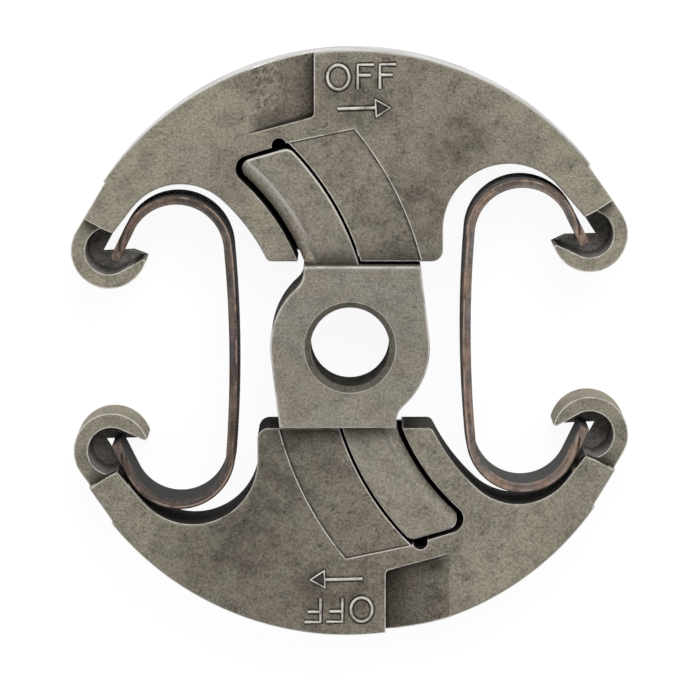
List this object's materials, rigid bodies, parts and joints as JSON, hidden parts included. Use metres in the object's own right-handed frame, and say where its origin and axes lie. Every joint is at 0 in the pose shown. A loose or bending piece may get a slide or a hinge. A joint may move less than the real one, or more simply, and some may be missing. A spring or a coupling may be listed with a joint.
{
  "type": "chainsaw clutch",
  "caption": "Centrifugal clutch of a chainsaw: a threaded hub with curved guide arms, friction shoes that slide outwards to grip a drum, and C-shaped strip springs hooked from shoe to shoe.",
  "frame": {"origin": "on the bore axis, in the plane of the back faces", "axes": "+Z along the bore and out of the marked faces, +Y towards the upper shoe, +X towards the right spring"},
  "size_m": [0.0646, 0.068, 0.013],
  "materials": {
    "hub_steel": "sintered steel, bead-dull grey-brown, worn bright on the edges",
    "shoe_steel": "sintered steel, mottled grey-brown, rims rubbed smooth by the drum",
    "spring_steel": "tempered strip, dark grey sides and coppery brown edges"
  },
  "bodies": {
    "hub": {"hub": "hub_steel", "left_spring": "spring_steel", "right_spring": "spring_steel"},
    "upper_shoe": {"upper_shoe": "shoe_steel"},
    "lower_shoe": {"lower_shoe": "shoe_steel"}
  },
  "joints": [
    {"name": "upper_shoe_slide", "type": "slide", "parent": "hub", "child": "upper_shoe", "axis": [-0.342, 0.9397, 0], "range_m": [0, 0.00105], "stiffness_N_per_m": 2000, "springref_m": -0.005},
    {"name": "lower_shoe_slide", "type": "slide", "parent": "hub", "child": "lower_shoe", "axis": [0.342, -0.9397, 0], "range_m": [0, 0.00105], "stiffness_N_per_m": 2000, "springref_m": -0.005}
  ]
}
